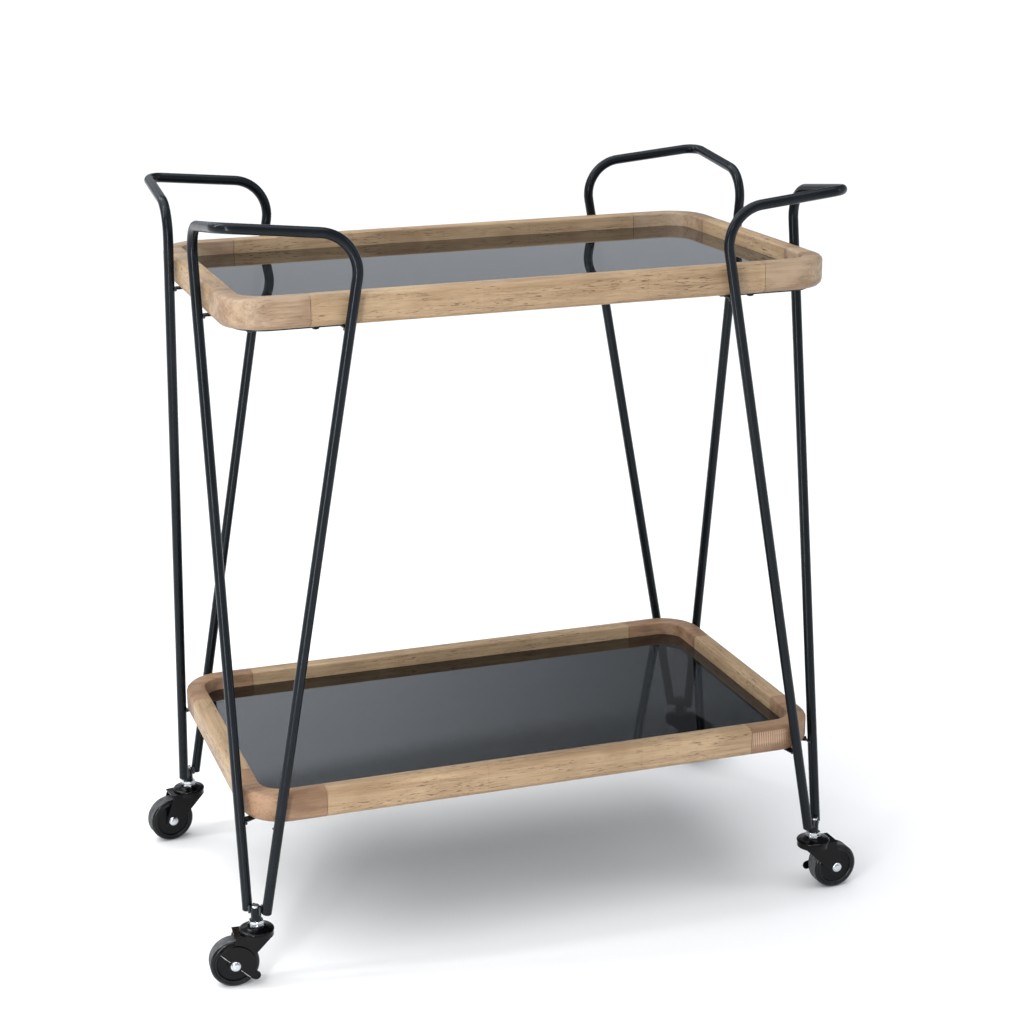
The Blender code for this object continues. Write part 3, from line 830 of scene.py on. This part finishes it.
def tab_lines(level):
    """The weld lines where each plate's tabs meet the legs of one corner."""
    z = RIM_Z[level] - TRAY_HEIGHT - PLATE_MIDDLE
    long_leg = leg_at(LONG_SIDE_FOOT, LONG_SIDE_SHOULDER, z)
    short_leg = leg_at(SHORT_SIDE_FOOT, SHORT_SIDE_SHOULDER, z)
    runs = []
    for leg, inward, side in (
        (long_leg, Vector((0, -1, 0)), Vector((1, 0, 0))),
        (short_leg, Vector((-1, 0, 0)), Vector((0, 1, 0))),
    ):
        under = leg + inward * (BAR_R + 0.0002) - Vector((0, 0, TAB_WELD_DROP))
        runs.append([under - side * TAB_WELD_HALF, under + side * TAB_WELD_HALF])
    return runs


def mirrored(runs, side_x, side_y):
    return [[Vector((side_x * p.x, side_y * p.y, p.z)) for p in run] for run in runs]


def facing_out(mesh):
    """A swept bar closed at its ends, its faces turned outwards and shaded smooth."""
    shape = bmesh.new()
    shape.from_mesh(mesh)
    bmesh.ops.remove_doubles(shape, verts=shape.verts, dist=0.000001)
    bmesh.ops.recalc_face_normals(shape, faces=shape.faces)
    shape.to_mesh(mesh)
    shape.free()
    return shaded(mesh, 38)


PATH, THICKNESS = bar_path()

for seed, (corner, (side_x, side_y, _turn)) in enumerate(CORNERS.items()):
    placed = mirrored([PATH], side_x, side_y)
    guide = line_mesh(f"frame_{corner}_path", placed, THICKNESS)
    sizes = {"Bar Radius": BAR_R, "Sides": BAR_SIDES}
    mesh = facing_out(run_tree(BAR_TREE, guide, sizes, f"frame_{corner}_bar_mesh"))
    fit_piece(f"frame_{corner}_bar", mesh, "cart", SATIN_BLACK, (f"frame_{corner}",))

    runs = groove_lines(LONG_SIDE_FOOT) + groove_lines(SHORT_SIDE_FOOT)
    for level in LEVELS:
        runs += tab_lines(level)
    guide = line_mesh(f"welds_{corner}_lines", mirrored(runs, side_x, side_y))
    sizes = {"Bead Radius": BEAD_R, "Spacing": BEAD_SPACING, "Seed": WELD_SEED + seed}
    mesh = run_tree(BEAD_TREE, guide, sizes, f"welds_{corner}_mesh")
    fit_piece(f"frame_{corner}_welds", mesh, "cart", WELD)


def screw_shape():
    """A pan-head screw seen from below, head down, with a cross recess."""
    shape = turned(
        [
            (0.0, -0.0022),
            (0.0016, -0.0021),
            (0.0030, -0.0016),
            (0.0037, -0.0007),
            (0.0037, 0.0),
            (0.0, 0.0),
        ],
        20,
    )
    head = new_item("pan_head", mesh_of(shape, "pan_head"))
    tools = []
    for wide, deep in ((0.0040, 0.0009), (0.0009, 0.0040)):
        cutter = bmesh.new()
        bmesh.ops.create_cube(cutter, size=1.0)
        bmesh.ops.scale(cutter, vec=(wide, deep, 0.0022), verts=cutter.verts)
        bmesh.ops.translate(cutter, vec=(0, 0, -0.0022), verts=cutter.verts)
        tools.append(new_item("recess", mesh_of(cutter, "recess")))
        cut = head.modifiers.new("recess", "BOOLEAN")
        cut.operation = "DIFFERENCE"
        cut.solver = "EXACT"
        cut.object = tools[-1]
    made = plain_mesh(head, "pan_head_cut")
    for tool in tools:
        bpy.data.objects.remove(tool)
    return shaded(made, 40)


def screw_tree(source):
    """A screw head at each point, each turned its own way."""
    tree = Tree("screws_on_points", {"Head Scale": "NodeSocketFloat", "Seed": "NodeSocketInt"})
    spots = tree.node("GeometryNodeMeshToPoints", None, {0: tree.given["Geometry"]})
    head = tree.node(
        "GeometryNodeObjectInfo", {"transform_space": "ORIGINAL"}, {"Object": source}
    )
    spin = tree.node(
        "FunctionNodeRandomValue",
        {"data_type": "FLOAT"},
        {2: 0.0, 3: math.tau, "Seed": tree.given["Seed"]},
    )
    turn = tree.node("ShaderNodeCombineXYZ", None, {"Z": spin.outputs[1]})
    placed = tree.node(
        "GeometryNodeInstanceOnPoints",
        None,
        {
            0: spots.outputs[0],
            "Instance": head.outputs["Geometry"],
            "Rotation": turn.outputs[0],
            "Scale": tree.given["Head Scale"],
        },
    )
    return tree.close(placed.outputs[0], SATIN_BLACK)


def plate_screw_places(level):
    """Screw places under one corner's plate, given for the corner at +X +Y."""
    centre_x = TRAY_HALF_X - TRAY_CORNER_R
    centre_y = TRAY_HALF_Y - TRAY_CORNER_R
    middle = TRAY_CORNER_R - SCREW_INSET

    def round_corner(degrees):
        angle = math.radians(degrees)
        return (centre_x + middle * math.cos(angle), centre_y + middle * math.sin(angle))

    if level == "upper":
        long_side = (0.2150, TRAY_HALF_Y - 0.0165)
        return [long_side, round_corner(45), (TRAY_HALF_X - SCREW_INSET, 0.0900)]
    return [round_corner(68), round_corner(22)]


screw_source = new_item("screw_source", screw_shape())
SCREW_TREE = screw_tree(screw_source)
for level in LEVELS:
    z = RIM_Z[level] - TRAY_HEIGHT - SCREW_DROP
    points = []
    for side_x, side_y, _turn in CORNERS.values():
        points += [(side_x * x, side_y * y, z) for x, y in plate_screw_places(level)]
    spots = bpy.data.meshes.new(f"{level}_screw_spots")
    spots.from_pydata(points, [], [])
    sizes = {"Head Scale": 1.0, "Seed": SCREW_SEED}
    mesh = run_tree(SCREW_TREE, spots, sizes, f"{level}_screws_mesh")
    fit_piece(f"{level}_plate_screws", mesh, "cart", SATIN_BLACK)
bpy.data.objects.remove(screw_source)


# --- Casters -------------------------------------------------------------------------


def wheel_profile():
    """Half of the wheel's section as (radius, height), from the hub out to the tread."""
    half = WHEEL_HALF
    return [
        (0.0033, half - 0.0004),
        (0.0066, half - 0.0002),
        (0.0073, half - 0.0007),
        (0.0078, half - 0.0019),
        (0.0088, half - 0.0022),
        (0.0160, half - 0.0022),
        (0.0170, half - 0.0019),
        (0.0176, half - 0.0008),
        (0.0181, half - 0.0003),
        (0.0194, half - 0.0002),
        (0.0198, half - 0.0006),
        (0.0203, half - 0.0006),
        (0.0207, half - 0.0002),
        (0.0220, half - 0.0004),
        (0.0228, half - 0.0010),
        (0.0235, half - 0.0019),
    ]


def tread_profile():
    """The tread's section from one edge to the other, with rolled grooves in it."""
    points = [(0.0237, 0.0068), (0.02395, 0.0061)]
    for middle in (0.0046, 0.0023, 0.0, -0.0023, -0.0046):
        points += [
            (0.0240, middle + 0.0007),
            (0.02355, middle + 0.0004),
            (0.02355, middle - 0.0004),
            (0.0240, middle - 0.0007),
        ]
    return points + [(0.02395, -0.0061), (0.0237, -0.0068)]


def wheel_mesh(corner):
    """The wheel in three finishes: plastic body, grey tread and polished rim."""
    upper = wheel_profile()
    lower = [(radius, -height) for radius, height in reversed(upper)]
    shape = turned(upper + tread_profile() + lower, 72)
    for face in shape.faces:
        middle = face.calc_center_median()
        out = math.hypot(middle.x, middle.y)
        if out > 0.0230 and abs(middle.z) < 0.0068:
            face.material_index = 1
        elif out > 0.0172:
            face.material_index = 2
    mesh = smooth_mesh(shape, f"caster_{corner}_wheel_mesh", wheel_place(corner), 34)
    for finish in (PLASTIC, TREAD, RIM):
        mesh.materials.append(finish)
    return mesh


def axle_mesh(corner):
    """A domed rivet through the wheel, longer where it also holds a brake."""
    near = AXLE_HALF
    far = near + (BRAKE_THICKNESS if corner in BRAKED else 0.0)
    dome = [
        (0.0, 0.00240),
        (0.0012, 0.00236),
        (0.0024, 0.00218),
        (0.0035, 0.00182),
        (0.0044, 0.00128),
        (0.0050, 0.00060),
        (0.0052, 0.00018),
        (0.00505, 0.0),
    ]
    top = [(radius, near + height) for radius, height in dome]
    low = [(radius, -far - height) for radius, height in reversed(dome)]
    shape = turned(top + [(0.003, near), (0.003, -far)] + low, 40)
    return smooth_mesh(shape, f"caster_{corner}_axle_mesh", wheel_place(corner), 42)


def race_mesh(corner):
    """Domed disc over the ball race, rising to the collar."""
    shape = turned(
        [
            (0.0078, 0.0586),
            (0.0088, 0.0585),
            (0.0104, 0.0578),
            (0.0124, 0.0571),
            (0.0146, 0.0567),
            (0.0160, 0.0563),
            (0.0168, 0.0558),
            (0.0171, 0.0551),
            (0.0171, 0.0546),
            (0.0167, 0.0543),
            (0.0160, 0.0545),
            (0.0148, 0.0552),
            (0.0078, 0.0552),
        ],
        56,
    )
    return smooth_mesh(shape, f"caster_{corner}_race_mesh", caster_place(corner), 50)


def stem_mesh(corner):
    """Threaded stem with its swaged foot under the roof."""
    points = [(0.0, 0.0800), (STEM_R - 0.0006, 0.0800), (STEM_R, 0.0794)]
    z = 0.0792
    while z > 0.0652:
        points += [(STEM_R, z), (STEM_R - 0.0005, z - THREAD_PITCH / 2)]
        z -= THREAD_PITCH
    points += [(STEM_R, 0.0640), (STEM_R, 0.0520)]
    points += [(0.0060, 0.0518), (0.0056, 0.0504), (0.0, 0.0496)]
    shape = turned(points, 28)
    return smooth_mesh(shape, f"caster_{corner}_stem_mesh", caster_place(corner), 30)


def hexagon_mesh(name, corner, low, high, bore):
    """A hexagon with chamfered corners, 13 mm across its flats."""
    shape = bmesh.new()

    def ring(z, limit, round_hole=False):
        made = []
        for step in range(HEX_STEPS):
            angle = math.tau * step / HEX_STEPS
            off = (angle + math.pi / 6) % (math.pi / 3) - math.pi / 6
            reach = limit if round_hole else min(HEX_HALF_FLAT / math.cos(off), limit)
            made.append(shape.verts.new((reach * math.cos(angle), reach * math.sin(angle), z)))
        return made

    order = [
        ring(low, HEX_REACH),
        ring(low + HEX_CHAMFER, math.inf),
        ring(high - HEX_CHAMFER, math.inf),
        ring(high, HEX_REACH),
        ring(high, bore, True),
        ring(low, bore, True),
    ]
    for first, second in zip(order, order[1:] + order[:1]):
        for step in range(HEX_STEPS):
            after = (step + 1) % HEX_STEPS
            shape.faces.new((first[step], first[after], second[after], second[step]))
    bmesh.ops.recalc_face_normals(shape, faces=shape.faces)
    return smooth_mesh(shape, name, caster_place(corner), 22)


def brake_edge(corner):
    """A thin bright metal line along a brake plate's straight edge: a painted highlight."""
    place = caster_place(corner) @ Matrix.Translation((TRAIL, 0, WHEEL_R))
    angle = math.radians(BRAKED[corner])
    middle = (BRAKE_EDGE_NEAR + BRAKE_EDGE_FAR) / 2
    runs = [
        [
            place @ Vector((reach * math.cos(angle), BRAKE_FACE, reach * math.sin(angle)))
            for reach in (side * BRAKE_EDGE_NEAR, side * middle, side * BRAKE_EDGE_FAR)
        ]
        for side in (1, -1)
    ]
    guide = line_mesh(f"brake_edge_{corner}_lines", runs, [0.5, 1.0, 0.4] * 2)
    sizes = {"Bar Radius": BRAKE_EDGE_R, "Sides": 8}
    mesh = run_tree(EDGE_TREE, guide, sizes, f"brake_edge_{corner}_mesh")
    mesh.shade_smooth()
    fit_piece(f"caster_{corner}_brake_bare_edge", mesh, f"{corner}_brake", EDGE_HIGHLIGHT)


for corner in CORNERS:
    caster = f"caster_{corner}"
    eased(f"{caster}_fork", GLOSS_BLACK, FORK_EASE, 32, 3)
    fit_piece(f"{caster}_race_disc", race_mesh(corner), "cart", GLOSS_BLACK, (f"{caster}_race",))
    fit_piece(f"{caster}_threaded_stem", stem_mesh(corner), "cart", ZINC, (f"{caster}_stem",))
    collar = hexagon_mesh(f"{caster}_collar_mesh", corner, COLLAR_LOW, COLLAR_HIGH, COLLAR_BORE)
    fit_piece(f"{caster}_stem_collar", collar, "cart", ZINC)
    nut = hexagon_mesh(f"{caster}_nut_mesh", corner, NUT_LOW, NUT_HIGH, NUT_BORE)
    fit_piece(f"{caster}_nut", nut, "cart", ZINC, (f"{caster}_jam_nut",))
    wheel = wheel_mesh(corner)
    fit_piece(
        f"{caster}_wheel_moulding", wheel, f"{corner}_wheel", PLASTIC, (f"{caster}_wheel",)
    )
    axle = axle_mesh(corner)
    fit_piece(f"{caster}_axle_pin", axle, f"{corner}_fork", ZINC, (f"{caster}_axle",))
    eased(f"sleeve_{corner}", SATIN_BLACK, SLEEVE_EASE, 30)
for corner in BRAKED:
    eased(f"caster_{corner}_brake", GLOSS_BLACK, PLATE_EASE, 30, 3)
    brake_edge(corner)


# --- Floor, light and camera ---------------------------------------------------------


def pale_floor():
    """A wide matt floor, a hair below the wheels."""
    finish = Finish("pale_floor")
    mottle = finish.noise((2.5, 2.5, 2.5), 3)
    finish.surface(
        Base_Color=finish.mix(mottle, shade(0.86, 0.86, 0.86), shade(0.88, 0.88, 0.88)),
        Roughness=0.9,
    )
    mesh = bpy.data.meshes.new("floor")
    reach = 30.0
    low = -0.0001
    mesh.from_pydata(
        [(-reach, -reach, low), (reach, -reach, low), (reach, reach, low), (-reach, reach, low)],
        [],
        [(0, 1, 2, 3)],
    )
    mesh.materials.append(finish.material)
    new_item("floor", mesh)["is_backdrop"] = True


def placed_lamp(name, kind, place, aim, energy):
    """A lamp out of the camera's sight, turned to face a point."""
    lamp = bpy.data.lights.new(name, kind)
    lamp.energy = energy
    item = new_item(name, lamp)
    item.location = place
    item.rotation_euler = (Vector(aim) - Vector(place)).to_track_quat("-Z", "Y").to_euler()
    item.visible_camera = False
    return lamp


def softbox(name, place, aim, width, height, power):
    lamp = placed_lamp(name, "AREA", place, aim, power)
    lamp.shape = "RECTANGLE"
    lamp.size = width
    lamp.size_y = height


def studio():
    """A backdrop with a brighter upper band, a ceiling, an open front, a sky and softboxes."""
    world = bpy.data.worlds.new("studio")
    world.use_nodes = True
    bpy.context.scene.world = world
    room = Graph(world.node_tree)
    sky = room.node("ShaderNodeTexCoord").outputs["Generated"]
    split = room.node("ShaderNodeSeparateXYZ", None, {0: sky})
    across, back, up = [Value(room, socket) for socket in split.outputs]
    right = across.smooth(BAND_BRIGHT, BAND_DIM)
    band = right * (BAND_RIGHT - BAND_LEFT) + BAND_LEFT
    ceiling = right * (CEILING_RIGHT - CEILING_LEFT) + CEILING_LEFT
    wall = (band - BACKDROP_LIGHT) * up.smooth(BAND_LOW, BAND_HIGH) + BACKDROP_LIGHT
    top = (up + across * BAND_SLOPE).smooth(BAND_END - 0.005, BAND_END + 0.005)
    behind = (ceiling - wall) * top + wall
    light = (behind - FRONT_LIGHT) * back.smooth(-0.10, 0.55) + FRONT_LIGHT
    background = world.node_tree.nodes["Background"]
    background.inputs[0].default_value = shade(0.91, 0.96, 1.03)
    room.feed(background.inputs[1], light)
    sky_lamp = placed_lamp("wide_sky", "SUN", (-0.9, 0.2, 4.0), (0, 0, 0), SKY_STRENGTH)
    sky_lamp.angle = math.radians(SKY_SPREAD)
    softbox("key", (-1.7, -2.0, 1.9), (0, 0, 0.45), 0.40, 0.60, 9)
    softbox("low_strip", (-0.86, -1.02, 0.46), (0, 0, 0.40), 0.10, 0.86, 6.6)
    softbox("top_strip", (-1.15, 0.05, 1.55), (0, 0, 0.30), 0.09, 1.30, 8)
    softbox("fill", (2.3, -1.3, 1.5), (0, 0, 0.4), 0.25, 1.6, 6)
    softbox("rim", (-1.2, 1.9, 2.5), (0, 0, 0.4), 0.4, 1.4, 9)


pale_floor()
studio()

camera_data = bpy.data.cameras.new("camera")
camera_data.sensor_width = 36
camera_data.lens = 73.9534
camera_data.shift_x = 0.050553
camera_data.shift_y = 0.001060
camera = new_item("camera", camera_data)
camera.location = (-0.656482, -1.978526, 1.020735)
camera.rotation_euler = [math.radians(angle) for angle in (73.25472, 0.741777, -17.79020)]
bpy.context.scene.camera = camera
bpy.context.scene.view_settings.view_transform = "Standard"

new_low, new_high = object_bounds()
sizes = {
    "cad": [list(cad_low), list(cad_high)],
    "visual": [list(new_low), list(new_high)],
}
